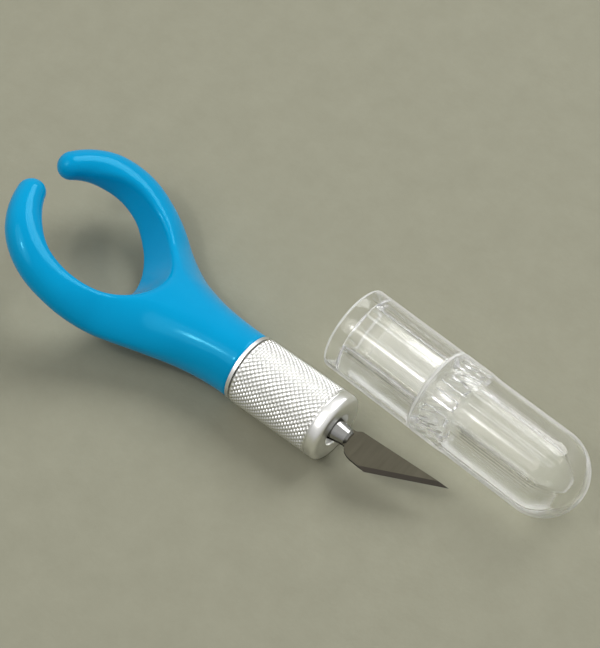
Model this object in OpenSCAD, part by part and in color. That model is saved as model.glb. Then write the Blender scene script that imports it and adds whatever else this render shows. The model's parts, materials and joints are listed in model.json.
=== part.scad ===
// Fingertip craft knife: a finger ring handle, a collet chuck, a fine point blade and a clear cap.
// Millimetres. The knife lies on a table as it comes to rest: chuck sleeve, handle neck and one
// ring arm touch the table at z = 0. +X runs along the chuck axis towards the blade's point.
// Lengths called x are measured along that axis from the back face of the chuck sleeve.

/* [Finger ring] */
// Tilt of the ring's plane out of the chuck axis, degrees
ring_tilt = 26.4; // [24:0.1:28]
// Half length of the ring's centre line, along the knife
ring_half_length = 14.95; // [14:0.05:16]
// Half width of the ring's centre line
ring_half_width = 11.95; // [11.5:0.05:13]
// How much wider the ring is at its open back than at its root
ring_egg = 0.21; // [0.1:0.01:0.26]
// Flattening of the ring's sides
ring_square = 0.065; // [0:0.005:0.1]
// Angle of each arm's tip from the middle of the open back, degrees
gap_angle = 22.4; // [20:0.1:28]
// Distance of the ring's middle behind the point where its plane meets the chuck axis
ring_middle = 10.6; // [10:0.1:11.5]
// Where the ring's plane meets the chuck axis
ring_plane_x = -23.1; // [-24:0.1:-22]
// Radius of an arm at its tip
arm_tip_r = 2.3; // [2:0.1:2.6]
// Radius of an arm at its quarter
arm_back_r = 3.25; // [2.8:0.05:3.4]
// Radius of an arm at the ring's widest place
arm_side_r = 3.5; // [3.2:0.1:3.6]
// Radius of an arm where it leaves the ring for the neck
arm_root_r = 4.3; // [4:0.1:4.5]

// Half length of the finger opening, along the knife
opening_half_length = 11.9; // [11.5:0.1:12.5]
// Half width of the finger opening
opening_half_width = 10.4; // [10:0.1:11]
// Distance of the opening's middle behind the point where the ring's plane meets the chuck axis
opening_middle = 12.6; // [12:0.1:13]
// Flare of the opening's wall towards its top, in millimetres for each millimetre of height
opening_flare = 0.26; // [0:0.02:0.4]

/* [Handle neck] */
// Diameter of the neck at the chuck
neck_d = 11.7; // [11:0.1:12]
// Radius of an arm half way from the ring's root to the chuck
arm_mid_r = 5.35; // [5.1:0.05:5.6]
// Roll of the handle on the table, towards the arm that rests on it, degrees
handle_roll = 15.2; // [13:0.1:15.3]

/* [Chuck] */
// Diameter of the knurled sleeve
sleeve_d = 12; // [11.8:0.1:12.4]
// Length of the knurled sleeve
sleeve_length = 17.6; // [17:0.1:17.7]
// Thickness of the bushing's flange that shows at the handle's mouth
flange_t = 0.6; // [0.5:0.1:1]
// Gap between the flange and the sleeve when the chuck is tight
chuck_gap = 0.2; // [0.15:0.05:0.4]
// Length of the collet's nose ahead of the sleeve
nose_length = 2.6; // [2.4:0.1:3]
// Radius of the collet's nose at its front
nose_r = 1.5; // [1.4:0.05:1.6]
// Taper of the collet's head, degrees a side
collet_taper = 10; // [9:0.5:11]

/* [Blade] */
// Overall length of the blade, tang included
blade_length = 39.6; // [38:0.1:41]
// Overall width of the blade, from its heel to its point
blade_w = 6; // [5.8:0.1:6.2]
// Thickness of the blade
blade_t = 0.5; // [0.4:0.05:0.55]
// Length of the blade ahead of the collet's nose
blade_reach = 17.4; // [16:0.1:19]
// Length of the cutting edge along the knife
edge_length = 12.1; // [11:0.1:13]
// Width of the ground bevel
bevel_w = 0.85; // [0.6:0.05:1.2]

/* [Cap] */
// Diameter of the cap at its mouth
cap_d = 15; // [14.8:0.1:15.4]
// Overall length of the cap
cap_length = 46.7; // [46:0.1:50]
// Length of the cap's tube, which slides over the chuck sleeve
cap_tube_length = 17.8; // [17.5:0.1:18.6]
// Wall of the cap around the blade
cap_wall = 1.9; // [1.5:0.1:2.2]
// Number of short ribs behind the tube's end
cap_ribs = 8; // [6:1:12]
// Place of the cap's mouth on the table, along the knife
cap_x = 8.4; // [6:0.1:20]
// Place of the cap's mouth on the table, across the knife
cap_y = 15.9; // [15.5:0.1:24]
// Turn of the cap on the table, degrees
cap_turn = -3; // [-4:0.5:4]

/* [Hidden] */
$fn = 96;

// Clearances: a turning or sliding fit, and a face that must not rub
fit = 0.05;
rub = 0.1;

// Handle: blind bore for the bushing, and the smooth arms that flow into the neck
neck_r = neck_d / 2;
neck_front_x = -chuck_gap - flange_t;
bushing_r = 4.6;
bushing_length = 8;
bushing_back_x = neck_front_x - bushing_length;
arm_leave_angle = 119;
arm_leave_pull = 5;
arm_neck_pull = 12.5;
arm_inner_power = 4;
arm_web_power = 6;
arm_web_w = 2;
arm_web_start = 0.45;
arm_crest_power = 1.4;
arm_crest_shift = 1.2;
opening_fade_from = 13;
opening_fade_length = 11;
opening_fade = 4;
arm_flat_root = 0.88;
arm_sides = 22;
snap = 0.02;
ring_steps = 28;
root_steps = 20;
tip_steps = 4;

// Chuck: the sleeve's screwed neck turns in the bushing, and the collet runs through both
thread_r = 3.5;
thread_length = 7.6;
collet_r = 2.6;
mouth_r = 2.9;
mouth_depth = 1.2;
sleeve_r = sleeve_d / 2;
sleeve_chamfer = 1;
sleeve_back_chamfer = 0.25;
nose_x = sleeve_length + nose_length;
nose_chamfer = 0.4;
head_length = (collet_r - nose_r) / tan(collet_taper);
seat_x = sleeve_length - mouth_depth;
collet_back_x = -thread_length - rub;
flange_r = sleeve_r - 0.1;

// Blade: the tang lies in the collet's slit, and the spine runs from beside the collet's nose to the point
slit_t = blade_t + 2 * 0.03;
tip_x = nose_x + blade_reach;
tang_x = tip_x - blade_length;
point_y = 2.75;
spine_y = 2.2;
edge_y = point_y - blade_w;
tang_half = 1.6;
belly_y = edge_y + 0.25;
heel_x = tip_x - edge_length;
shoulder_x = nose_x + 0.2;
shoulder_r = 2.6;
spine_rise_x = nose_x - 0.2;
spine_rise = 1.2;
slot_w = 1.4;
slot_from = 3;
slot_length = 8;
edge_angle = atan2(blade_w, edge_length);
slit_back_x = tang_x - 0.4;

// Cap: a tube that slides over the sleeve, then a tail with a ribbed step, the blade's room and a round
// end. They meet at a seam inside a shallow groove
cap_r = cap_d / 2;
cap_bore_r = sleeve_r + 0.08;
cap_tail_r = cap_r - 0.1;
cap_ring_r = cap_r + 0.05;
cap_seam_x = cap_tube_length;
cap_ring_to = cap_seam_x + 6.2;
cap_groove = 0.15;
cap_room_r = cap_tail_r - cap_wall;
cap_dome_x = cap_length - cap_tail_r;
cap_lip = 0.35;
rib_length = 4.5;
rib_share = 0.45;

// Arm centre line in the handle's own upright frame: an egg-shaped ring in the tilted plane,
// then a cubic curve from the ring's root into the neck
function ring_point(a) =
    let (u = ring_middle + ring_half_length * cos(a))
    let (v = ring_half_width * sin(a) * (1 + ring_egg * cos(a) - ring_square * cos(2 * a)))
    [ring_plane_x - u * cos(ring_tilt), v, u * sin(ring_tilt)];
function unit(v) = v / norm(v);
function ring_way(a) = unit(ring_point(a + 0.5) - ring_point(a - 0.5));
function bezier(p, t) =
    pow(1 - t, 3) * p[0] + 3 * t * pow(1 - t, 2) * p[1]
    + 3 * t * t * (1 - t) * p[2] + pow(t, 3) * p[3];
root_start = ring_point(arm_leave_angle);
root_end = [neck_front_x, 0, 0];
root_curve = [
    root_start,
    root_start + arm_leave_pull * ring_way(arm_leave_angle),
    root_end - [arm_neck_pull, 0, 0],
    root_end
];
function root_way(t) = unit(
    pow(1 - t, 2) * (root_curve[1] - root_curve[0]) + 2 * t * (1 - t) * (root_curve[2] - root_curve[1])
    + t * t * (root_curve[3] - root_curve[2])
);

// Arm radius and flatness along the ring and along the root
arm_stations = [17.2, 51.6, 91.7, arm_leave_angle];
arm_radii = [arm_tip_r, arm_back_r, arm_side_r, arm_root_r];
function ring_radius(a) = lookup(a, [for (i = [0:3]) [arm_stations[i], arm_radii[i]]]);
function mix(a, b, t) = a + (b - a) * t;
ring_up = [sin(ring_tilt), 0, cos(ring_tilt)];
axis_up = [0, 0, 1];

// One section of an arm: centre, direction, up direction, half width and half height. Then the power of the
// curve on its inner side, where 2 is round and more is fuller, the width added there for the web, the power
// of the curve on the outer side's top, where less than 2 makes a crest, and how far in the crest lies
function share(t, from, to) = min(1, max(0, (t - from) / (to - from)));
function eased(f) = (1 - cos(180 * f)) / 2;
function ring_section(i) =
    let (t = i / ring_steps, a = mix(gap_angle, arm_leave_angle, t), r = ring_radius(a))
    [ring_point(a), ring_way(a), ring_up, r, r * mix(1, arm_flat_root, t),
        mix(2, arm_inner_power, t * t), arm_web_w * arm_web_start * eased(share(t, 0.75, 1)),
        mix(2, arm_crest_power, share(t, 0.6, 1)), arm_crest_shift * share(t, 0.3, 1)];
function root_section(i) =
    let (t = i / root_steps, r = lookup(t, [[0, arm_root_r], [0.5, arm_mid_r], [1, neck_r]]))
    [bezier(root_curve, t), root_way(t), unit(mix(ring_up, axis_up, t)), r, r * mix(arm_flat_root, 1, t),
        mix(arm_inner_power, arm_web_power, share(t, 0, 0.5)),
        arm_web_w * mix(arm_web_start, 1, eased(share(t, 0, 0.25))),
        mix(arm_crest_power, 2, share(t, 0.4, 0.85)), arm_crest_shift * (1 - share(t, 0.35, 0.85))];
function tip_section(i) =
    let (b = 90 * (1 - i / tip_steps), s = ring_section(0))
    [s[0] - s[1] * s[3] * sin(b), s[1], s[2], s[3] * cos(b), s[4] * cos(b), 2, 0, 2, 0];
function bowed(v, power) = sign(v) * pow(abs(v), 2 / power);
function section_points(s) =
    let (side = unit(cross(s[2], s[1])), top = cross(s[1], side), crest = s[0] - side * s[8])
    [for (k = [0:arm_sides - 1])
        let (c = cos(360 * k / arm_sides), h = sin(360 * k / arm_sides))
        let (power = c < 0 ? s[5] : h > 0 ? s[7] : 2, width = c < 0 ? s[3] + s[6] - s[8] : s[3] + s[8])
        crest + side * width * bowed(c, power) + top * s[4] * bowed(h, power)];

// Moves a point of the skin that lies in the finger opening out to the opening's wall: an oval funnel that
// stands on the ring's plane and fades out towards the arms' tips
function off_opening(p) =
    let (x = p[0] - ring_plane_x)
    let (back = p[2] * sin(ring_tilt) - x * cos(ring_tilt), up = p[2] * cos(ring_tilt) + x * sin(ring_tilt))
    let (fade = share(back, opening_fade_from, opening_fade_from + opening_fade_length))
    let (grow = opening_flare * (up - 0.6) - opening_fade * fade * fade, du = back - opening_middle)
    let (e = norm([du / (opening_half_length + grow), p[1] / (opening_half_width + grow)]))
    let (wall = opening_middle + du / e)
    e >= 1 ? p : [
        ring_plane_x - wall * cos(ring_tilt) + up * sin(ring_tilt), p[1] / e,
        wall * sin(ring_tilt) + up * cos(ring_tilt)
    ];

// Skin of one arm, cut at the middle plane: points nearer to it than snap lie on it
sections = concat(
    [for (i = [1:tip_steps - 1]) tip_section(i)],
    [for (i = [0:ring_steps]) ring_section(i)],
    [for (i = [1:root_steps]) root_section(i)]
);
arm_points = concat([for (s = sections) each section_points(s)], [tip_section(0)[0]]);
arm_skin = [for (p = arm_points) off_opening([p[0], p[1] > snap ? p[1] : 0, p[2]])];

// Layout: the lower of the sleeve and the rolled arm touches the table, and the box is centred on the
// origin
function rolled(p, side) =
    let (y = side * p[1])
    [p[0], y * cos(handle_roll) + p[2] * sin(handle_roll), p[2] * cos(handle_roll) - y * sin(handle_roll)];
handle_back = min([for (p = arm_skin) p[0]]);
handle_side = min([for (p = arm_skin) rolled(p, -1)[1]]);
handle_low = min([for (p = arm_skin) rolled(p, 1)[2]]);
cap_end = cap_x + cap_dome_x * cos(cap_turn) + cap_tail_r;
cap_side_mouth = cap_y + cap_lip * sin(cap_turn) + cap_r * cos(cap_turn);
cap_side_ring = cap_y + (cap_seam_x + 0.5) * sin(cap_turn) + cap_ring_r * cos(cap_turn);
cap_side_tail = cap_y + cap_dome_x * sin(cap_turn) + cap_tail_r;
cap_side = max(cap_side_mouth, cap_side_ring, cap_side_tail);
origin_x = (handle_back + cap_end) / 2;
origin_y = (handle_side + cap_side) / 2;
axis_z = max(sleeve_r, -handle_low);

// Puts a piece that is drawn about the chuck axis in its place on the table
module on_axis() {
    translate([-origin_x, -origin_y, axis_z]) children();
}

// Turns a half profile, drawn as [x along the axis, radius], round the chuck axis
module turned(profile) {
    rotate([90, 0, 90]) rotate_extrude() polygon([for (p = profile) [p[1], p[0]]]);
}

// Both arms and the neck as one skin: half of it ends on the middle plane, and the other half mirrors it
module arms() {
    n = len(sections);
    m = arm_sides;
    wall = [for (i = [0:n - 2], k = [0:m - 1]) each [
        [i * m + k, i * m + (k + 1) % m, (i + 1) * m + k],
        [i * m + (k + 1) % m, (i + 1) * m + (k + 1) % m, (i + 1) * m + k]
    ]];
    tip = [for (k = [0:m - 1]) [n * m, (k + 1) % m, k]];
    end = [for (k = [1:m - 2]) [(n - 1) * m, (n - 1) * m + k, (n - 1) * m + k + 1]];
    half = [for (f = concat(wall, tip, end)) if (max([for (j = f) arm_skin[j][1]]) > 0) f];
    function twin(j) = arm_skin[j][1] > 0 ? len(arm_skin) + j : j;
    polyhedron(
        points = concat(arm_skin, [for (p = arm_skin) [p[0], -p[1], p[2]]]),
        faces = concat(half, [for (f = half) [twin(f[2]), twin(f[1]), twin(f[0])]])
    );
}

module finger_ring_handle() {
    color("deepskyblue") on_axis() rotate([-handle_roll, 0, 0]) difference() {
        arms();
        turned([[bushing_back_x, 0], [bushing_back_x, bushing_r], [0, bushing_r], [0, 0]]);
    }
}

module chuck_bushing() {
    floor_x = collet_back_x - rub;
    color("gainsboro") on_axis() turned([
        [bushing_back_x, 0], [bushing_back_x, bushing_r], [neck_front_x, bushing_r],
        [neck_front_x, flange_r], [-chuck_gap, flange_r], [-chuck_gap, thread_r + fit],
        [floor_x, thread_r + fit], [floor_x, 0]
    ]);
}

module chuck_sleeve() {
    bore_r = collet_r + fit;
    head_x = nose_x - head_length;
    seat_r = bore_r - (seat_x - head_x) * tan(collet_taper);
    color("silver") on_axis() turned([
        [-thread_length, bore_r], [-thread_length, thread_r], [0, thread_r],
        [0, sleeve_r - sleeve_back_chamfer], [sleeve_back_chamfer, sleeve_r],
        [sleeve_length - sleeve_chamfer, sleeve_r], [sleeve_length, sleeve_r - sleeve_chamfer],
        [sleeve_length, mouth_r], [seat_x, mouth_r], [seat_x, seat_r], [head_x, bore_r]
    ]);
}

module collet() {
    color("lightgray") on_axis() difference() {
        turned([
            [collet_back_x, 0], [collet_back_x, collet_r], [nose_x - head_length, collet_r],
            [nose_x - nose_chamfer, nose_r], [nose_x, nose_r - nose_chamfer], [nose_x, 0]
        ]);
        translate([slit_back_x, -collet_r - 1, -slit_t / 2])
            cube([blade_length, 2 * collet_r + 2, slit_t]);
    }
}

// Outline of the blade seen from above, spine on the +Y side
module blade_outline() {
    shoulder = [for (a = [0:15:90])
        [shoulder_x + shoulder_r * (1 - cos(a)), mix(-tang_half, belly_y, sin(a))]];
    rise = [for (i = [0:6])
        [spine_rise_x + spine_rise * i / 6, mix(tang_half, spine_y, (1 - cos(30 * i)) / 2)]];
    polygon(concat(
        [[tang_x, tang_half], [tang_x, -tang_half]], shoulder,
        [[heel_x, edge_y], [tip_x, point_y]], [for (i = [6:-1:0]) rise[i]]
    ));
}

module blade() {
    bevel_tilt = atan2(blade_t / 2, bevel_w);
    color("dimgray") on_axis() difference() {
        translate([0, 0, -blade_t / 2]) linear_extrude(blade_t) difference() {
            blade_outline();
            for (x = [slot_from, slot_from + slot_length]) translate([tang_x + x, 0]) circle(slot_w / 2);
            translate([tang_x + slot_from, -slot_w / 2]) square([slot_length, slot_w]);
        }
        for (face = [0, 1]) mirror([0, 0, face]) translate([tip_x, point_y, 0]) rotate([0, 0, edge_angle])
            rotate([bevel_tilt, 0, 0]) translate([-2 * blade_length, -blade_w, 0.01])
            cube([3 * blade_length, 2 * blade_w, blade_t * 2]);
    }
}

// Puts a piece of the cap, drawn about its own axis from its mouth, in its place on the table
module on_cap() {
    translate([cap_x - origin_x, cap_y - origin_y, cap_ring_r]) rotate([0, 0, cap_turn]) children();
}

module cap_tube() {
    color("whitesmoke", 0.4) on_cap() turned([
        [0, cap_bore_r + cap_lip], [0, cap_r - cap_lip], [cap_lip, cap_r],
        [cap_seam_x - cap_groove, cap_r], [cap_seam_x, cap_r - cap_groove],
        [cap_seam_x, cap_bore_r], [cap_lip, cap_bore_r]
    ]);
}

module cap_tail() {
    ramp_x = cap_seam_x + 1.2;
    dome = [for (a = [0:6:90]) [cap_dome_x + cap_tail_r * sin(a), cap_tail_r * cos(a)]];
    room = [for (a = [90:-6:0]) [cap_dome_x + cap_room_r * sin(a), cap_room_r * cos(a)]];
    color("whitesmoke", 0.4) on_cap() {
        turned(concat(
            [[cap_seam_x, cap_bore_r], [cap_seam_x, cap_r - cap_groove], [cap_seam_x + 0.5, cap_ring_r]],
            [[cap_ring_to - 1, cap_ring_r], [cap_ring_to + 1, cap_tail_r]],
            dome, room,
            [[ramp_x, cap_room_r]]
        ));
        cap_rib_ring();
    }
}

// Short ribs that stand on the step at the end of the cap's bore
module cap_rib_ring() {
    rib_w = rib_share * 2 * PI * cap_room_r / cap_ribs;
    rib_top = cap_room_r - 0.6;
    for (i = [0:cap_ribs - 1]) rotate([360 * (i + 0.5) / cap_ribs, 0, 0])
        translate([cap_seam_x + 1.2, -rib_w / 2, rib_top]) cube([rib_length, rib_w, 1]);
}

finger_ring_handle();
chuck_bushing();
chuck_sleeve();
collet();
blade();
cap_tube();
cap_tail();
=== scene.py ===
import json
import math

import bmesh
import bpy
import numpy as np
from mathutils import Matrix, Vector


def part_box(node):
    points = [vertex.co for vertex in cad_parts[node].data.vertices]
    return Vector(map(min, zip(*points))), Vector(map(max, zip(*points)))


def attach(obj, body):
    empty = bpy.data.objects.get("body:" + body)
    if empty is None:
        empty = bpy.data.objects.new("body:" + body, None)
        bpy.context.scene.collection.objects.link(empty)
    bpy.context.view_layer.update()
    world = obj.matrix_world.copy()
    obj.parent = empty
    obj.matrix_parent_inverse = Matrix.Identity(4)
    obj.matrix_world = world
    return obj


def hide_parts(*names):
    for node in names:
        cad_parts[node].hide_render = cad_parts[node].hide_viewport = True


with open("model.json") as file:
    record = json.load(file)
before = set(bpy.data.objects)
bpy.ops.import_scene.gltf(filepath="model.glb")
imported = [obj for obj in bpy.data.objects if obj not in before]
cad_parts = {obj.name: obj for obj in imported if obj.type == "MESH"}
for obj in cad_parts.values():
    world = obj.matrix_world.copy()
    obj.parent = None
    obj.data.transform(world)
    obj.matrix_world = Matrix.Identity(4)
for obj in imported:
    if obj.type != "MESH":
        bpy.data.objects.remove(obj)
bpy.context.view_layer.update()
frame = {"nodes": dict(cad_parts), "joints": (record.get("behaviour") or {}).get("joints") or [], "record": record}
scene = bpy.context.scene
scene.view_settings.view_transform = "Standard"

# A ray crosses many walls of the clear cap, so rays get more bounces than usual
CLEAR_BOUNCES = 24
GLOSSY_BOUNCES = 16
scene.cycles.max_bounces = CLEAR_BOUNCES
scene.cycles.transmission_bounces = CLEAR_BOUNCES
scene.cycles.glossy_bounces = GLOSSY_BOUNCES

# Sizes are in millimetres unless a comment says otherwise. Lengths called x run along the chuck from its
# sleeve's back face or, in the cap, along the cap from its mouth
MM = 0.001
SLEEVE_LENGTH = 17.6
CAP_LIP = 0.35

# The chuck axis at the sleeve's back face, read from the sleeve
sleeve_low, sleeve_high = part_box("chuck_sleeve")
sleeve_middle = (sleeve_low + sleeve_high) / 2
AXIS = Vector((sleeve_high.x - SLEEVE_LENGTH * MM, sleeve_middle.y, sleeve_middle.z))
AXIS_FRAME = Matrix.Translation(AXIS) @ Matrix.Scale(MM, 4)

# The cap's mouth and its turn on the table, read from its slide and its bore, which starts behind the lip
cap_slide = next(joint for joint in frame["joints"] if joint["name"] == "cap_slide")
cap_way = Vector(cap_slide["axis"]).normalized()
cap_bore = next(mount for mount in frame["record"]["mounts"] if mount["name"] == "cap_mouth")
CAP_BORE_R = cap_bore["dims"]["r_mm"]
CAP_MOUTH = Vector(cap_bore["pos_m"]) - cap_way * (CAP_LIP + cap_bore["dims"]["length_mm"] / 2) * MM
CAP_TURN = math.atan2(cap_way.y, cap_way.x)
CAP_FRAME = Matrix.Translation(CAP_MOUTH) @ Matrix.Rotation(CAP_TURN, 4, "Z") @ Matrix.Scale(MM, 4)

# Camera, at the photograph's angle: how far it turns from the view along +Y and how far it looks down, in
# degrees, its place from the chuck axis, and its focal length in pixels of the photograph
CAMERA_TURN = 38.9
CAMERA_DOWN = 58.0
CAMERA_PLACE = Vector((109.6, -123.4, 277.9))
FOCAL_PIXELS = 2000.0
IMAGE_HEIGHT = 648.0
SENSOR_HEIGHT = 36.0


def aim_camera():
    data = bpy.data.cameras.new("camera")
    data.sensor_fit = "VERTICAL"
    data.sensor_height = SENSOR_HEIGHT
    data.lens = FOCAL_PIXELS * SENSOR_HEIGHT / IMAGE_HEIGHT
    data.clip_start = 0.01
    camera = bpy.data.objects.new("camera", data)
    scene.collection.objects.link(camera)
    turn = Matrix.Rotation(math.radians(CAMERA_TURN), 4, "Z")
    pitch = Matrix.Rotation(math.radians(90 - CAMERA_DOWN), 4, "X")
    camera.matrix_world = Matrix.Translation(AXIS + CAMERA_PLACE * MM) @ turn @ pitch
    scene.camera = camera


# Mesh helpers
def make_object(name, points, faces, place, sharp_angle=None):
    """A smooth object of a closed mesh, put in place by a matrix, with every face pointing out."""
    mesh = bpy.data.meshes.new(name)
    mesh.from_pydata([tuple(point) for point in points], [], faces)
    mesh.validate()
    mesh.transform(place)
    mesh.shade_smooth()
    if sharp_angle is not None:
        mesh.set_sharp_from_angle(angle=math.radians(sharp_angle))
    work = bmesh.new()
    work.from_mesh(mesh)
    bmesh.ops.recalc_face_normals(work, faces=work.faces)
    work.to_mesh(mesh)
    work.free()
    obj = bpy.data.objects.new(name, mesh)
    scene.collection.objects.link(obj)
    return obj


def lathe(rows, sides):
    """Points and faces of a closed loop of rows, each (x, radius, wave), turned round the X axis. A wave
    gives the change of radius at each angle, or is None. A row of radius 0 is one point."""
    angles = np.linspace(0, 2 * math.pi, sides, endpoint=False)
    points = []
    rings = []
    for x, radius, wave in rows:
        first = len(points)
        if radius == 0:
            points.append((x, 0.0, 0.0))
            rings.append([first] * sides)
            continue
        radii = np.full(sides, radius) if wave is None else radius + wave(angles, x)
        points.extend(zip(np.full(sides, x), radii * np.cos(angles), radii * np.sin(angles)))
        rings.append(range(first, first + sides))
    faces = []
    for ring, following in zip(rings, rings[1:] + rings[:1]):
        for k in range(sides):
            after = (k + 1) % sides
            corners = dict.fromkeys((ring[k], following[k], following[after], ring[after]))
            if len(corners) > 2:
                faces.append(tuple(corners))
    return points, faces


def plain(outline):
    """Rows for the lathe from an outline of (x, radius), all round."""
    return [(x, radius, None) for x, radius in outline]


def along_and_out(points):
    """The place along the X axis and the distance from it of each point."""
    x, y, z = np.array(points).T
    return x, np.hypot(y, z)


def mark(obj, name, values):
    """Gives each point of a mesh a number that its material can read."""
    layer = obj.data.attributes.new(name, "FLOAT", "POINT")
    layer.data.foreach_set("value", np.asarray(values, np.float32))


# Materials. Most of a noise texture's values lie between these two
NOISE_LOW = 0.3
NOISE_HIGH = 0.7


class NodeGraph:
    """Adds nodes to a node tree, with inputs that are sockets to link, or numbers and colours to set."""

    def __init__(self, tree):
        self.nodes = tree.nodes
        self.links = tree.links
        self.nodes.clear()

    def feed(self, socket, value):
        if isinstance(value, bpy.types.NodeSocket):
            self.links.new(value, socket)
        else:
            socket.default_value = value

    def add(self, kind, inputs=None, **settings):
        node = self.nodes.new("ShaderNode" + kind)
        for key, value in settings.items():
            setattr(node, key, value)
        for key, value in (inputs or {}).items():
            self.feed(node.inputs[key], value)
        return node

    def calculate(self, operation, *values, clamp=False):
        node = self.add("Math", dict(enumerate(values)), operation=operation, use_clamp=clamp)
        return node.outputs["Value"]

    def spread(self, source, low, high, start=NOISE_LOW, end=NOISE_HIGH, kind="LINEAR"):
        """A value that goes from low to high as the source goes from start to end."""
        inputs = {"Value": source, "From Min": start, "From Max": end, "To Min": low, "To Max": high}
        return self.add("MapRange", inputs, interpolation_type=kind).outputs["Result"]

    def choose(self, factor, low, high):
        """The shader low where the factor is 0, and the shader high where it is 1."""
        return self.add("MixShader", {"Fac": factor, 1: low, 2: high}).outputs["Shader"]


class Finish(NodeGraph):
    """A material of one main shader and what feeds it."""

    def __init__(self, name):
        self.material = bpy.data.materials.new(name)
        self.material.use_nodes = True
        super().__init__(self.material.node_tree)
        self.shader = self.add("BsdfPrincipled")
        self.out = self.add("OutputMaterial", {"Surface": self.shader.outputs["BSDF"]})

    def set(self, name, value):
        self.feed(self.shader.inputs[name], value)

    def noise(self, scale, detail=4.0, stretch=(1, 1, 1), roughness=0.55, turn=0.0):
        """Noise in the piece's own frame, turned about Z and then stretched."""
        place = self.add("TexCoord").outputs["Object"]
        turned = self.add("Mapping", {"Vector": place, "Rotation": (0, 0, turn)}).outputs["Vector"]
        scaled = self.add("Mapping", {"Vector": turned, "Scale": stretch}).outputs["Vector"]
        inputs = {"Vector": scaled, "Scale": scale, "Detail": detail, "Roughness": roughness}
        return self.add("TexNoise", inputs).outputs["Fac"]

    def ramp(self, source, low, high):
        """A colour that goes from low to high with a noise."""
        node = self.add("ValToRGB", {"Fac": source})
        first, last = node.color_ramp.elements
        first.position = NOISE_LOW
        first.color = low
        last.position = NOISE_HIGH
        last.color = high
        return node.outputs["Color"]

    def blend(self, factor, low, high):
        """A colour that goes from low to high with a factor from 0 to 1."""
        node = self.add("Mix", {"Factor": factor, "A": low, "B": high}, data_type="RGBA")
        return node.outputs["Result"]

    def marked(self, name):
        return self.add("Attribute", attribute_name=name).outputs["Fac"]

    def bump(self, source, strength, distance):
        node = self.add("Bump", {"Height": source, "Strength": strength, "Distance": distance * MM})
        self.set("Normal", node.outputs["Normal"])


def linear(red, green, blue):
    """A colour as shaders take it, from its values in a picture, 0 to 255."""
    shares = [value / 255 for value in (red, green, blue)]
    return (*(c / 12.92 if c <= 0.04045 else ((c + 0.055) / 1.055) ** 2.4 for c in shares), 1)


def blue_plastic():
    """Glossy moulded plastic, with highlights that stay blue."""
    finish = Finish("handle_blue")
    cloud = finish.noise(90, detail=3)
    finish.set("Base Color", finish.ramp(cloud, linear(0, 157, 213), linear(0, 163, 219)))
    finish.set("Roughness", finish.spread(finish.noise(420, detail=5), 0.12, 0.16))
    finish.set("IOR", 1.46)
    finish.set("Specular IOR Level", 0.3)
    finish.set("Specular Tint", (0.2, 0.8, 1.0, 1))
    finish.bump(finish.noise(900, detail=2), strength=0.03, distance=0.4)
    return finish.material


def satin_metal(name, dark, light, smooth, rough, stretch):
    """Satin metal with a grain along the chuck axis, and a roughness that goes from smooth to rough."""
    finish = Finish(name)
    finish.set("Metallic", 1.0)
    tone = finish.noise(700, detail=5, stretch=stretch)
    finish.set("Base Color", finish.ramp(tone, dark, light))
    finish.set("Roughness", finish.spread(finish.noise(1500, detail=3, stretch=stretch), smooth, rough))
    finish.bump(tone, strength=0.06, distance=0.06)
    return finish.material


def knurled_metal():
    """Satin aluminium, with painted shade that darkens the knurl grooves by their depth."""
    finish = Finish("sleeve_metal")
    finish.set("Metallic", 1.0)
    grain = finish.noise(700, detail=5, stretch=(0.3, 1, 1))
    land = finish.ramp(grain, (0.86, 0.86, 0.84, 1), (0.92, 0.92, 0.90, 1))
    # Painted shade: the colour goes from the lands' tone to a darker grey as the grooves deepen.
    finish.set("Base Color", finish.blend(finish.marked("groove"), land, (0.6, 0.6, 0.58, 1)))
    finish.set("Roughness", finish.spread(finish.noise(500, detail=3), 0.28, 0.32))
    finish.bump(grain, strength=0.01, distance=0.02)
    return finish.material


def ground_steel():
    """Dark blade steel, ground across its width, with painted shade that darkens the bevel where it leans from the
    flat.
    """
    finish = Finish("blade_steel")
    finish.set("Metallic", 1.0)
    grain = finish.noise(900, detail=5, stretch=(2, 0.15, 1))
    flat = finish.ramp(grain, (0.066, 0.061, 0.044, 1), (0.078, 0.072, 0.053, 1))
    normal = finish.add("SeparateXYZ", {"Vector": finish.add("TexCoord").outputs["Normal"]})
    upright = finish.calculate("ABSOLUTE", normal.outputs["Z"])
    level = finish.spread(upright, 0, 1, start=0.985, end=0.995)
    # Painted shade: faces that lean from the flat get a darker colour than the flats.
    finish.set("Base Color", finish.blend(level, (0.045, 0.040, 0.033, 1), flat))
    finish.set("Roughness", finish.spread(grain, 0.3, 0.42))
    finish.bump(grain, strength=0.05, distance=0.05)
    return finish.material


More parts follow.
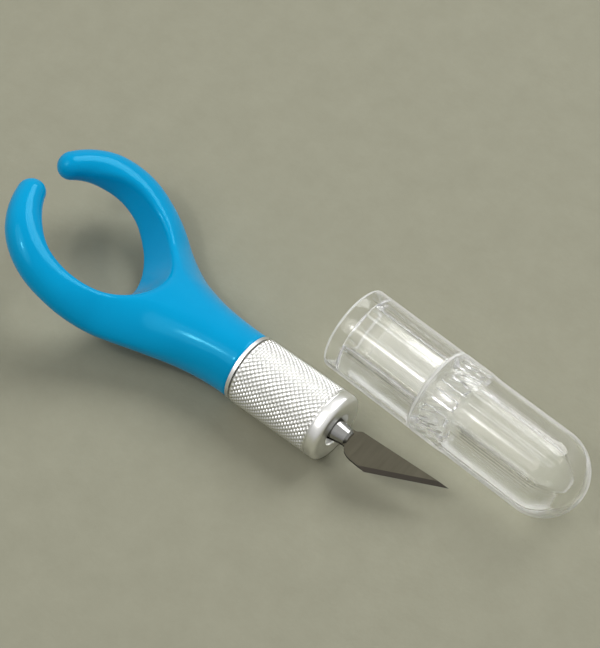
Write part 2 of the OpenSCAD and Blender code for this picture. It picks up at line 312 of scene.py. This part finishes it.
def clear_plastic():
    """Clear moulded plastic with faint draw lines on its inner walls, and painted edge light: where the surface is
    seen edge-on it turns from clear to white, as if bright surroundings shone through its edges. It reads three
    marks: one of white edges, which is painted edge light at the lip, seam and lead step and a faint frost on the
    ribs, inside, where draw lines show, and skin, the outer wall."""
    finish = Finish("cap_clear")
    finish.set("Base Color", (0.985, 0.99, 0.985, 1))
    finish.set("IOR", 1.49)
    finish.set("Sheen Weight", 0.8)
    finish.set("Sheen Roughness", 0.3)
    lines = finish.noise(1500, detail=3, stretch=(0.01, 1, 1), roughness=0.6, turn=-CAP_TURN)
    drawn = finish.calculate("MULTIPLY", finish.spread(lines, 0, 0.24, start=0.54, end=0.68),
                             finish.marked("inside"))
    # Painted edge light: the plastic turns white where it is seen edge-on
    facing = finish.add("LayerWeight").outputs["Facing"]
    painted_edge_light = finish.spread(facing, 0, 0.65, start=0.52, end=0.9, kind="SMOOTHSTEP")
    # The mark of white edges: painted edge light at the lip, seam and lead step, and a faint frost on the ribs
    clear = finish.spread(finish.marked("frost_and_edge_light"), 1.0, 0.5, start=0, end=1)
    for loss in (painted_edge_light, drawn):
        clear = finish.calculate("SUBTRACT", clear, loss, clamp=True)
    finish.set("Transmission Weight", clear)
    fine = finish.spread(finish.noise(260, detail=3), 0.04, 0.08)
    finish.set("Roughness", finish.calculate("MULTIPLY_ADD", finish.marked("skin"), 0.08, fine))
    finish.bump(lines, strength=0.06, distance=0.1)
    in_shadow = finish.add("LightPath").outputs["Is Shadow Ray"]
    shadow = finish.add("BsdfTransparent", {"Color": (0.7, 0.7, 0.7, 1)})
    surface = finish.choose(in_shadow, finish.shader.outputs["BSDF"], shadow.outputs["BSDF"])
    finish.feed(finish.out.inputs["Surface"], surface)
    return finish.material


# Handle: the same curves as the solid, joined smoothly. The ring is an egg-shaped oval in a plane that
# tilts out of the chuck axis. Angles along it start at the middle of its open back, in degrees
RING_TILT = math.radians(26.4)
RING_HALF_LENGTH = 14.95
RING_HALF_WIDTH = 11.95
RING_EGG = 0.21
RING_SQUARE = 0.065
RING_MIDDLE = 10.6
RING_PLANE_X = -23.1
GAP_ANGLE = 22.4
LEAVE_ANGLE = 119.0
HANDLE_ROLL = 15.2

# Arm: its radius at four angles along the ring, then half way to the neck and at the neck
ARM_ANGLES = (17.2, 51.6, 91.7, LEAVE_ANGLE)
ARM_RADII = (2.3, 3.25, 3.5, 4.3)
ARM_MID_R = 5.35
NECK_R = 5.85
NECK_FRONT_X = -0.8
LEAVE_PULL = 5.0
NECK_PULL = 12.5

# Section of an arm: how flat it is at the root, the web that fills its inner side, the powers of its
# curves, where 2 is round, and how far in its crest lies
FLAT_ROOT = 0.88
WEB_W = 2.0
WEB_START = 0.45
ROUND_POWER = 2.0
INNER_POWER = 4.0
WEB_POWER = 6.0
CREST_POWER = 1.4
CREST_SHIFT = 1.2

# Finger opening: an oval funnel across the ring's plane, with these half sizes at one level above it. It
# flares towards its top and fades out towards the arms' tips
OPENING_HALF_LENGTH = 11.9
OPENING_HALF_WIDTH = 10.4
OPENING_MIDDLE = 12.6
OPENING_FLARE = 0.26
OPENING_LEVEL = 0.6
FADE_FROM = 13.0
FADE_LENGTH = 11.0
FADE = 4.0

# Joins: how round the two arms meet, at places along the chuck axis, and how round the edges of the
# opening and the mouth are. Then the bore for the bushing
JOIN_X = (-27, -23, -16, -8)
JOIN_R = (1.6, 1.4, 0.8, 0.02)
OPENING_EDGE = 1.0
MOUTH_EDGE = 0.5
BUSHING_R = 4.6
BUSHING_BACK_X = -8.8

# Mesh: stations along an arm, how many of them on each side round a kink, how far the skin lies inside the
# solid's, the grid that the skin is found on, and the least values that a sum divides by
RING_STATIONS = 130
ROOT_STATIONS = 90
FRONT_STATIONS = 7
FRONT_STEP = 0.4
EASE_REACH = 10
INSET = 0.02
GRID_STEP = 0.4
GRID_LOW = np.array([-48.6, -17.0, -7.4])
GRID_HIGH = np.array([-0.2, 17.0, 15.2])
POINTS_AT_ONCE = 60000
LEAST_RAY_SQUARED = 1e-9
LEAST_REACH = 1e-6
LEAST_SLOPE = 1e-3


def share(value, start, end):
    """How far a value has gone from start to end, from 0 to 1."""
    return np.clip((value - start) / (end - start), 0, 1)


def rounded(part):
    """A share that starts and ends gently."""
    return (1 - np.cos(np.pi * part)) / 2


def mix(low, high, part):
    return low + (high - low) * part


def unit(vectors):
    return vectors / np.linalg.norm(vectors, axis=-1, keepdims=True)


def eased(values):
    """A row of values with its kinks rounded over some 4 mm of the arm, and its straight runs kept."""
    weights = np.hanning(2 * EASE_REACH + 3)[1:-1]
    padded = np.pad(values, EASE_REACH, mode="reflect", reflect_type="odd")
    return np.convolve(padded, weights / weights.sum(), "valid")


def ring_point(angle):
    """Points of the ring's centre line."""
    a = np.radians(np.asarray(angle, float))
    back = RING_MIDDLE + RING_HALF_LENGTH * np.cos(a)
    side = RING_HALF_WIDTH * np.sin(a) * (1 + RING_EGG * np.cos(a) - RING_SQUARE * np.cos(2 * a))
    return np.stack([RING_PLANE_X - back * math.cos(RING_TILT), side, back * math.sin(RING_TILT)], -1)


def root_point(part):
    """Points of the cubic curve from the ring's root into the neck."""
    start = ring_point(LEAVE_ANGLE)
    end = np.array([NECK_FRONT_X, 0, 0])
    way = unit(ring_point(LEAVE_ANGLE + 0.5) - ring_point(LEAVE_ANGLE - 0.5))
    pulled = start + LEAVE_PULL * way
    pushed = end - np.array([NECK_PULL, 0, 0])
    t = part[:, None]
    from_start = (1 - t) ** 3 * start + 3 * t * (1 - t) ** 2 * pulled
    to_end = 3 * t * t * (1 - t) * pushed + t ** 3 * end
    return from_start + to_end


def arm_line():
    """One arm, from its tip to beyond the neck's mouth, as rows of values at stations along its centre
    line: the centre, the directions along, aside and up, and the half sizes and powers of the section's
    curves. The shares ring and root go from 0 to 1 along the ring and along the root."""
    angle = np.linspace(GAP_ANGLE, LEAVE_ANGLE, RING_STATIONS)
    ring = share(angle, GAP_ANGLE, LEAVE_ANGLE)
    root = np.append(np.linspace(0, 1, ROOT_STATIONS + 1)[1:], np.ones(FRONT_STATIONS))
    centre = np.vstack([ring_point(angle), root_point(root)])
    centre[-FRONT_STATIONS:, 0] += FRONT_STEP * np.arange(1, FRONT_STATIONS + 1)

    outer = np.append(np.interp(angle, ARM_ANGLES, ARM_RADII),
                      np.interp(root, [0, 0.5, 1], [ARM_RADII[-1], ARM_MID_R, NECK_R]))
    flat = np.append(mix(1, FLAT_ROOT, ring), mix(FLAT_ROOT, 1, root))
    web = np.append(WEB_START * rounded(share(ring, 0.75, 1)),
                    mix(WEB_START, 1, rounded(share(root, 0, 0.25))))
    shift = CREST_SHIFT * np.append(share(ring, 0.3, 1), 1 - share(root, 0.35, 0.85))
    power = np.append(mix(ROUND_POWER, INNER_POWER, ring ** 2),
                      mix(INNER_POWER, WEB_POWER, share(root, 0, 0.5)))
    crest = np.append(mix(ROUND_POWER, CREST_POWER, share(ring, 0.6, 1)),
                      mix(CREST_POWER, ROUND_POWER, share(root, 0.4, 0.85)))
    values = dict(outer=outer + shift, inner=outer + WEB_W * web - shift, high=outer * flat,
                  power=power, crest=crest, shift=shift)

    line = {name: eased(row) for name, row in values.items()}
    line["centre"] = np.stack([eased(row) for row in centre.T], 1)
    line["along"] = unit(np.gradient(line["centre"], axis=0))
    lean = eased(np.append(np.zeros(RING_STATIONS), root))[:, None]
    up = mix(np.array([math.sin(RING_TILT), 0, math.cos(RING_TILT)]), np.array([0, 0, 1.0]), lean)
    line["side"] = unit(np.cross(up, line["along"]))
    line["top"] = np.cross(line["along"], line["side"])
    return line


def skin_distance(points, line):
    """Distance of points to one arm's skin, along the ray from the arm's centre line. Negative inside."""
    centre = line["centre"]
    last = len(centre) - 1
    near = ((centre ** 2).sum(1) - 2 * points @ centre.T).argmin(1)
    ahead = ((points - centre[near]) * line["along"][near]).sum(1)
    step = np.linalg.norm(centre[np.minimum(near + 1, last)] - centre[np.maximum(near - 1, 0)], axis=1)
    step /= np.where((near == 0) | (near == last), 1, 2)
    station = near + ahead / step
    beyond_tip = np.minimum(station, 0) * step
    station = np.clip(station, 0, last)
    low = np.minimum(station.astype(int), last - 1)
    part = station - low

    def here(name):
        row = line[name]
        return mix(row[low], row[low + 1], part if row.ndim == 1 else part[:, None])

    offset = points - here("centre")
    x = (offset * here("side")).sum(1) + here("shift")
    y = (offset * here("top")).sum(1)
    power = np.where(x < 0, here("power"), np.where(y > 0, here("crest"), ROUND_POWER))
    width = np.where(x < 0, here("inner"), here("outer"))
    reach = ((np.abs(x) / width) ** power + (np.abs(y) / here("high")) ** power) ** (1 / power)
    ray = np.sqrt(x * x + y * y + LEAST_RAY_SQUARED)
    skin = ray / np.maximum(reach, LEAST_REACH)
    return np.hypot(ray, beyond_tip) - skin + INSET


def arm_distance(points, line):
    """The same for any number of points, some at a time to save memory."""
    starts = range(0, len(points), POINTS_AT_ONCE)
    return np.concatenate([skin_distance(points[a:a + POINTS_AT_ONCE], line) for a in starts])


def opening_distance(points):
    """Distance to the wall of the finger opening. Negative in the opening."""
    x = points[:, 0] - RING_PLANE_X
    back = points[:, 2] * math.sin(RING_TILT) - x * math.cos(RING_TILT)
    height = x * math.sin(RING_TILT) + points[:, 2] * math.cos(RING_TILT)
    u = (back - OPENING_MIDDLE) / OPENING_HALF_LENGTH
    v = points[:, 1] / OPENING_HALF_WIDTH
    oval = np.hypot(u, v)
    slope = np.hypot(u / OPENING_HALF_LENGTH, v / OPENING_HALF_WIDTH)
    wall = (oval - 1) * oval / np.maximum(slope, LEAST_SLOPE)
    fade = share(back, FADE_FROM, FADE_FROM + FADE_LENGTH)
    return wall - OPENING_FLARE * (height - OPENING_LEVEL) + FADE * fade * fade


def smooth_most(a, b, reach):
    """The greater of two distances, with the edge between them rounded."""
    part = np.clip(0.5 + 0.5 * (a - b) / reach, 0, 1)
    return b * (1 - part) + a * part + reach * part * (1 - part)


def handle_distance(points, line):
    """Distance to the whole handle: one arm and its mirror image, joined smoothly, cut by the finger
    opening, the mouth and the bore."""
    x, y, z = points.T
    aside = np.hypot(y, np.interp(x, JOIN_X, JOIN_R))
    body = arm_distance(np.stack([x, aside, z], 1), line)
    body = smooth_most(body, -opening_distance(points), OPENING_EDGE)
    body = smooth_most(body, x - NECK_FRONT_X, MOUTH_EDGE)
    bore = np.maximum(np.hypot(y, z) - BUSHING_R, BUSHING_BACK_X - x)
    return np.maximum(body, -bore)


def net_surface(values, origin, step):
    """Quads on the zero level of a grid of values, one vertex for each cell that the level crosses."""
    inside = values < 0
    nx, ny, nz = values.shape
    total = np.zeros((nx - 1, ny - 1, nz - 1, 3))
    count = np.zeros((nx - 1, ny - 1, nz - 1))

    def corner(array, c):
        return array[c[0]:nx - 1 + c[0], c[1]:ny - 1 + c[1], c[2]:nz - 1 + c[2]]

    for near in np.ndindex(2, 2, 2):
        for axis in range(3):
            if near[axis]:
                continue
            far = list(near)
            far[axis] = 1
            crossed = corner(inside, near) != corner(inside, far)
            start = corner(values, near)[crossed]
            end = corner(values, far)[crossed]
            place = np.tile(np.array(near, float), (len(start), 1))
            place[:, axis] += start / (start - end)
            total[crossed] += place
            count[crossed] += 1
    used = count > 0
    number = np.full(used.shape, -1)
    number[used] = np.arange(used.sum())
    points = origin + step * (np.argwhere(used) + total[used] / count[used][:, None])

    faces = []
    for axis in range(3):
        before = [slice(1, -1)] * 3
        after = [slice(1, -1)] * 3
        before[axis] = slice(0, -1)
        after[axis] = slice(1, None)
        start = inside[tuple(before)]
        crossed = np.argwhere(start != inside[tuple(after)])
        leaving = start[tuple(crossed.T)]
        base = crossed + 1
        base[:, axis] -= 1
        quads = []
        for du, dv in ((-1, -1), (0, -1), (0, 0), (-1, 0)):
            cell = base.copy()
            cell[:, (axis + 1) % 3] += du
            cell[:, (axis + 2) % 3] += dv
            quads.append(number[tuple(cell.T)])
        quads = np.stack(quads, 1)
        quads[~leaving] = quads[~leaving][:, ::-1]
        faces.append(quads)
    return points, np.vstack(faces)


def settled(points, line):
    """Points moved onto the handle's skin, down the slope of its distance, in two passes."""
    probe = 0.02
    least_slope = 0.25
    most_move = 0.3
    for _ in range(2):
        value = handle_distance(points, line)
        rises = [handle_distance(points + way, line) - handle_distance(points - way, line)
                 for way in probe * np.eye(3)]
        slope = np.stack(rises, 1) / (2 * probe)
        steepness = np.maximum((slope ** 2).sum(1), least_slope)
        points = points - np.clip(value / steepness, -most_move, most_move)[:, None] * slope
    return points


def build_handle():
    line = arm_line()
    axes = [np.arange(low, high + GRID_STEP, GRID_STEP) for low, high in zip(GRID_LOW, GRID_HIGH)]
    grid = np.stack(np.meshgrid(*axes, indexing="ij"), -1)
    values = handle_distance(grid.reshape(-1, 3), line).reshape(grid.shape[:3])
    points, faces = net_surface(values, GRID_LOW, GRID_STEP)
    roll = Matrix.Rotation(math.radians(-HANDLE_ROLL), 4, "X")
    obj = make_object("ring_handle", settled(points, line), faces.tolist(), AXIS_FRAME @ roll)
    finer = obj.modifiers.new("finer", "SUBSURF")
    finer.levels = 1
    finer.render_levels = 1
    obj.data.materials.append(blue_plastic())
    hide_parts("finger_ring_handle")
    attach(obj, "handle")


# Sleeve: a diamond knurl with flat lands, a fine groove ahead of it, and a smooth rounded collar. Its
# radius is just inside the solid's
SLEEVE_R = 5.99
COLLAR_R = 1.0
SLEEVE_MOUTH_R = 2.9
SLEEVE_BORE_R = 2.65
SEAT_X = 16.4
SEAT_R = 2.22
SEAT_BACK_X = 14.0
THREAD_R = 3.5
THREAD_LENGTH = 7.6
THREAD_CHAMFER = 0.2
KNURL_TEETH = 40
KNURL_DEPTH = 0.2
KNURL_START = 0.25
KNURL_END = 15.3
KNURL_FADE = 0.35
KNURL_LAND = 0.3
KNURL_CURVE = 1.3
KNURL_CROSSING = 0.45
KNURL_ROWS = 180
SIDES_PER_TOOTH = 10


def knurl_groove(place):
    """Depth of one set of grooves, from 0 on the flat lands to 1, at a place counted in teeth."""
    from_middle = np.abs(place % 1 - 0.5) * 2
    return share(from_middle, KNURL_LAND, 1) ** KNURL_CURVE


def knurl_wave(angle, x):
    """Two sets of grooves, a little shallower where they cross, that fade out at the knurl's ends."""
    turn = angle * KNURL_TEETH / (2 * math.pi)
    along = x * KNURL_TEETH / (2 * math.pi * SLEEVE_R)
    one = knurl_groove(turn + along)
    two = knurl_groove(turn - along)
    fade = share(x, KNURL_START, KNURL_START + KNURL_FADE) * share(x, KNURL_END, KNURL_END - KNURL_FADE)
    return -KNURL_DEPTH * fade * (one + two - KNURL_CROSSING * one * two)


def build_sleeve():
    front = SLEEVE_LENGTH
    neck = [(-THREAD_LENGTH, SLEEVE_BORE_R), (-THREAD_LENGTH, THREAD_R - THREAD_CHAMFER)]
    neck += [(THREAD_CHAMFER - THREAD_LENGTH, THREAD_R), (0, THREAD_R)]
    back = [(0, SLEEVE_R - 0.29), (0.08, SLEEVE_R - 0.13)]
    knurl = [(x, SLEEVE_R, knurl_wave) for x in np.linspace(KNURL_START, KNURL_END, KNURL_ROWS)]
    groove_cuts = ((0.06, 0.09), (0.16, 0.11), (0.26, 0.04), (0.35, 0.01))
    groove = [(KNURL_END + x, SLEEVE_R - cut) for x, cut in groove_cuts]
    collar = [(front - COLLAR_R + COLLAR_R * math.sin(a), SLEEVE_R - COLLAR_R + COLLAR_R * math.cos(a))
              for a in np.radians(np.linspace(0, 84, 11))]
    face = [(front, SLEEVE_R - COLLAR_R - 0.09), (front, SLEEVE_MOUTH_R + 0.16)]
    mouth = [(front - 0.05, SLEEVE_MOUTH_R + 0.05), (front - 0.15, SLEEVE_MOUTH_R)]
    seat = [(SEAT_X, SLEEVE_MOUTH_R), (SEAT_X, SEAT_R), (SEAT_BACK_X, SLEEVE_BORE_R)]
    rows = plain(neck + back) + knurl + plain(groove + collar + face + mouth + seat)
    points, faces = lathe(rows, KNURL_TEETH * SIDES_PER_TOOTH)
    obj = make_object("knurled_sleeve", points, faces, AXIS_FRAME, sharp_angle=40)
    x, radius = along_and_out(points)
    knurled = (x > KNURL_START - 0.05) & (x < KNURL_END + 0.4)
    # Each point's depth in the knurl, which the sleeve's material turns into painted shade in the grooves
    mark(obj, "groove", np.where(knurled, share(SLEEVE_R - radius, 0, KNURL_DEPTH), 0))
    obj.data.materials.append(knurled_metal())
    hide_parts("chuck_sleeve")
    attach(obj, "sleeve")


# Cap: a clear tube, and a clear tail with a ribbed step inside and a round end, which meet at a seam. Both
# have six flats inside, whose corners lie further out than their middles. Ripples on them are given by
# their height, their number round the wall and where they start
TUBE_R = 7.49
BAND_R = 7.54
TAIL_R = 7.38
SEAM_X = 17.8
RIB_START_X = 19.0
RIB_END_X = 24.2
DOME_X = 39.3
LEAD_X = 2.6
LEAD_R = 6.4
LEAD_MOUTH_R = 6.75
TUBE_CORNER_R = 6.9
ROOM_R = 4.8
ROOM_CORNER_R = 5.45
STEP_R = 5.5
FLATS = 6
FLAT_TURN = math.radians(106)
RIPPLES = ((0.003, 61, 0), (0.002, 97, 1))
RIBS = 12
RIB_HEIGHT = 0.6
RIB_EDGE = 0.35
RIB_UNEVEN = 0.12
CAP_SIDES = 288


def six_flats(middle_r, corner_r, scale=1.0):
    """A wave that makes a round wall six-sided, with fine ripples along it."""
    def wave(angle, x):
        flat_angle = 2 * math.pi / FLATS
        off = (angle - FLAT_TURN + flat_angle / 2) % flat_angle - flat_angle / 2
        lines = sum(height * np.cos(number * angle + start) for height, number, start in RIPPLES)
        return scale * (np.minimum(middle_r / np.cos(off), corner_r) - middle_r + lines)
    return wave


def rib_wave(height):
    """A wave of ribs that stand in from the wall, a little uneven along it."""
    def wave(angle, x):
        rib = share(np.cos(angle * RIBS), -RIB_EDGE, RIB_EDGE)
        uneven = RIB_UNEVEN * np.cos(angle * 3 * RIBS + 3 * x)
        return -height * (rib * rib * (3 - 2 * rib) + uneven)
    return wave


def tube_rows():
    lip = [(0.0, TUBE_R - 0.29), (0.06, TUBE_R - 0.15), (0.16, TUBE_R - 0.05), (0.3, TUBE_R)]
    wall = [(x, TUBE_R) for x in np.linspace(2, SEAM_X - 0.6, 10)]
    end = [(SEAM_X - 0.2, TUBE_R), (SEAM_X - 0.1, TUBE_R - 0.03), (SEAM_X - 0.02, TUBE_R - 0.11)]
    bore_x = np.linspace(SEAM_X - 0.02, LEAD_X + 0.25, 10)
    bore = [(x, CAP_BORE_R, six_flats(CAP_BORE_R, TUBE_CORNER_R)) for x in bore_x]
    lead = [(LEAD_X, LEAD_R, six_flats(LEAD_R, TUBE_CORNER_R))]
    mouth = [(LEAD_X - 0.1, LEAD_MOUTH_R), (0.45, LEAD_MOUTH_R)]
    mouth += [(0.25, LEAD_MOUTH_R + 0.05), (0.1, LEAD_MOUTH_R + 0.11), (0.0, LEAD_MOUTH_R + 0.2)]
    return plain(lip + wall + end) + bore + lead + plain(mouth)


def tail_rows():
    band = [(SEAM_X, BAND_R - 0.18), (SEAM_X + 0.06, BAND_R - 0.12), (SEAM_X + 0.25, BAND_R - 0.05)]
    band += [(SEAM_X + 0.5, BAND_R), (22.9, BAND_R), (23.6, BAND_R - 0.02), (24.4, BAND_R - 0.1)]
    wall = [(25.2, TAIL_R)]
    wall += [(x, TAIL_R) for x in np.linspace(27, DOME_X, 8)]
    dome = [(DOME_X + TAIL_R * math.sin(a), TAIL_R * math.cos(a))
            for a in np.radians(np.linspace(3, 87, 29))]
    poles = [(DOME_X + TAIL_R, 0), (DOME_X + ROOM_R, 0)]
    room = [(DOME_X + ROOM_R * math.sin(a), ROOM_R * math.cos(a),
             six_flats(ROOM_R, ROOM_CORNER_R, math.cos(a) ** 2))
            for a in np.radians(np.linspace(87, 0, 30))]
    room += [(x, ROOM_R, six_flats(ROOM_R, ROOM_CORNER_R)) for x in np.linspace(38.5, 24.6, 8)]
    edge = [(RIB_END_X - 0.3, STEP_R - 0.1)]
    rib_shares = [(4.6, 0.25), (4.3, 0.75), (3.9, 1)]
    rib_shares += [(along, 1) for along in np.linspace(3.2, 1.0, 6)]
    rib_shares += [(0.5, 5 / 6), (0.2, 0.5), (0.0, 1 / 6)]
    ribs = [(RIB_START_X + along, STEP_R, rib_wave(RIB_HEIGHT * part)) for along, part in rib_shares]
    step = [(RIB_START_X - 0.2, STEP_R + 0.1)]
    step += [(SEAM_X + 0.1, CAP_BORE_R - 0.08), (SEAM_X, CAP_BORE_R - 0.04)]
    return plain(band + wall + dome + poles) + room + plain(edge) + ribs + plain(step)


def build_cap():
    between_walls = 7.1
    rim_painted_light = 1.0
    lead_painted_light = 0.6
    rib_frost = 0.14
    material = clear_plastic()
    pieces = (("clear_cap_tube", tube_rows(), "cap_tube"), ("clear_cap_tail", tail_rows(), "cap_tail"))
    for name, rows, node in pieces:
        points, faces = lathe(rows, CAP_SIDES)
        obj = make_object(name, points, faces, CAP_FRAME, sharp_angle=38)
        x, radius = along_and_out(points)
        inner = radius < between_walls
        ribbed = inner & (x > SEAM_X) & (x < RIB_END_X)
        at_seam = ~inner & (x > SEAM_X - 0.15) & (x < SEAM_X + 0.3)
        at_lip = x < 0.26
        # Painted edge light at the lip, seam and lead step, and a faint frost on the ribs, which whiten the
        # plastic there
        frost_and_edge_light = np.where(x == LEAD_X, lead_painted_light, rib_frost * ribbed)
        mark(obj, "frost_and_edge_light", np.where(at_seam | at_lip, rim_painted_light, frost_and_edge_light))
        mark(obj, "skin", ~inner & (x < DOME_X))
        drawn = (x > LEAD_X + 0.1) & (x < SEAM_X) | (x > RIB_END_X) & (x < DOME_X)
        mark(obj, "inside", inner & drawn)
        obj.data.materials.append(material)
        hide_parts(node)
        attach(obj, "cap")


def dress_nodes():
    """Gives the pieces that are shown as their solids their materials."""
    bright = satin_metal("bushing_metal", dark=(0.84, 0.84, 0.83, 1), light=(0.92, 0.92, 0.91, 1),
                         smooth=0.28, rough=0.36, stretch=(0.1, 1, 1))
    dark = satin_metal("collet_metal", dark=(0.29, 0.29, 0.28, 1), light=(0.36, 0.36, 0.35, 1),
                       smooth=0.1, rough=0.15, stretch=(0.2, 1, 1))
    for name, material in (("chuck_bushing", bright), ("collet", dark), ("blade", ground_steel())):
        slots = frame["nodes"][name].data.materials
        slots.clear()
        slots.append(material)


# Table, air and lamps, with sizes in metres. The air is dim as a light, brighter where the camera sees it
# or where it shows through the cap, and where it is mirrored it is brighter above than at the sides
TABLE_HALF = 0.9
AIR_COLOUR = (1.0, 0.995, 0.98, 1)
AIR_LIGHT = 0.27
AIR_SEEN = 0.9
AIR_MIRRORED_LOW = 0.45
AIR_MIRRORED_HIGH = 0.95
WHITE = (1, 1, 1)
WARM = (1, 0.98, 0.95)


def build_table():
    mesh = bpy.data.meshes.new("table")
    corners = [(x * TABLE_HALF, y * TABLE_HALF, 0) for x, y in ((-1, -1), (1, -1), (1, 1), (-1, 1))]
    mesh.from_pydata(corners, [], [(0, 1, 2, 3)])
    table = bpy.data.objects.new("table", mesh)
    scene.collection.objects.link(table)
    finish = Finish("table_paper")
    tone = finish.noise(160, detail=6, roughness=0.7)
    finish.set("Base Color", finish.ramp(tone, linear(150, 149, 130), linear(156, 155, 136)))
    finish.set("Roughness", 0.85)
    finish.bump(finish.noise(900), strength=0.08, distance=0.5)
    mesh.materials.append(finish.material)


def build_air():
    world = bpy.data.worlds.new("studio")
    world.use_nodes = True
    graph = NodeGraph(world.node_tree)
    way = graph.add("SeparateXYZ", {"Vector": graph.add("TexCoord").outputs["Generated"]})
    rise = graph.spread(way.outputs["Z"], AIR_MIRRORED_LOW, AIR_MIRRORED_HIGH, start=0, end=1)
    light, seen, mirrored = [
        graph.add("Background", {"Color": AIR_COLOUR, "Strength": strength}).outputs["Background"]
        for strength in (AIR_LIGHT, AIR_SEEN, rise)
    ]
    ray = graph.add("LightPath").outputs
    is_seen = graph.calculate("MAXIMUM", ray["Is Transmission Ray"], ray["Is Camera Ray"])
    air = graph.choose(ray["Is Glossy Ray"], graph.choose(is_seen, light, seen), mirrored)
    graph.add("OutputWorld", {"Surface": air})
    scene.world = world


def add_lamp(name, way, distance, width, watts, colour):
    """A round lamp that stands at a distance in one direction and points at the origin."""
    data = bpy.data.lights.new(name, "AREA")
    data.shape = "DISK"
    data.size = width
    data.energy = watts
    data.color = colour
    lamp = bpy.data.objects.new(name, data)
    scene.collection.objects.link(lamp)
    way = Vector(way).normalized()
    lamp.location = way * distance
    lamp.rotation_euler = (-way).to_track_quat("-Z", "Y").to_euler()


aim_camera()
build_handle()
build_sleeve()
build_cap()
dress_nodes()
build_table()
build_air()
add_lamp("key", way=(-0.33, -0.41, 0.85), distance=0.7, width=0.5, watts=1.25, colour=WARM)
add_lamp("glint", way=(-0.275, -0.4, 0.86), distance=0.65, width=0.07, watts=0.45, colour=WARM)
add_lamp("fill", way=(0.1, 0.72, 0.8), distance=0.9, width=0.6, watts=5.2, colour=WHITE)
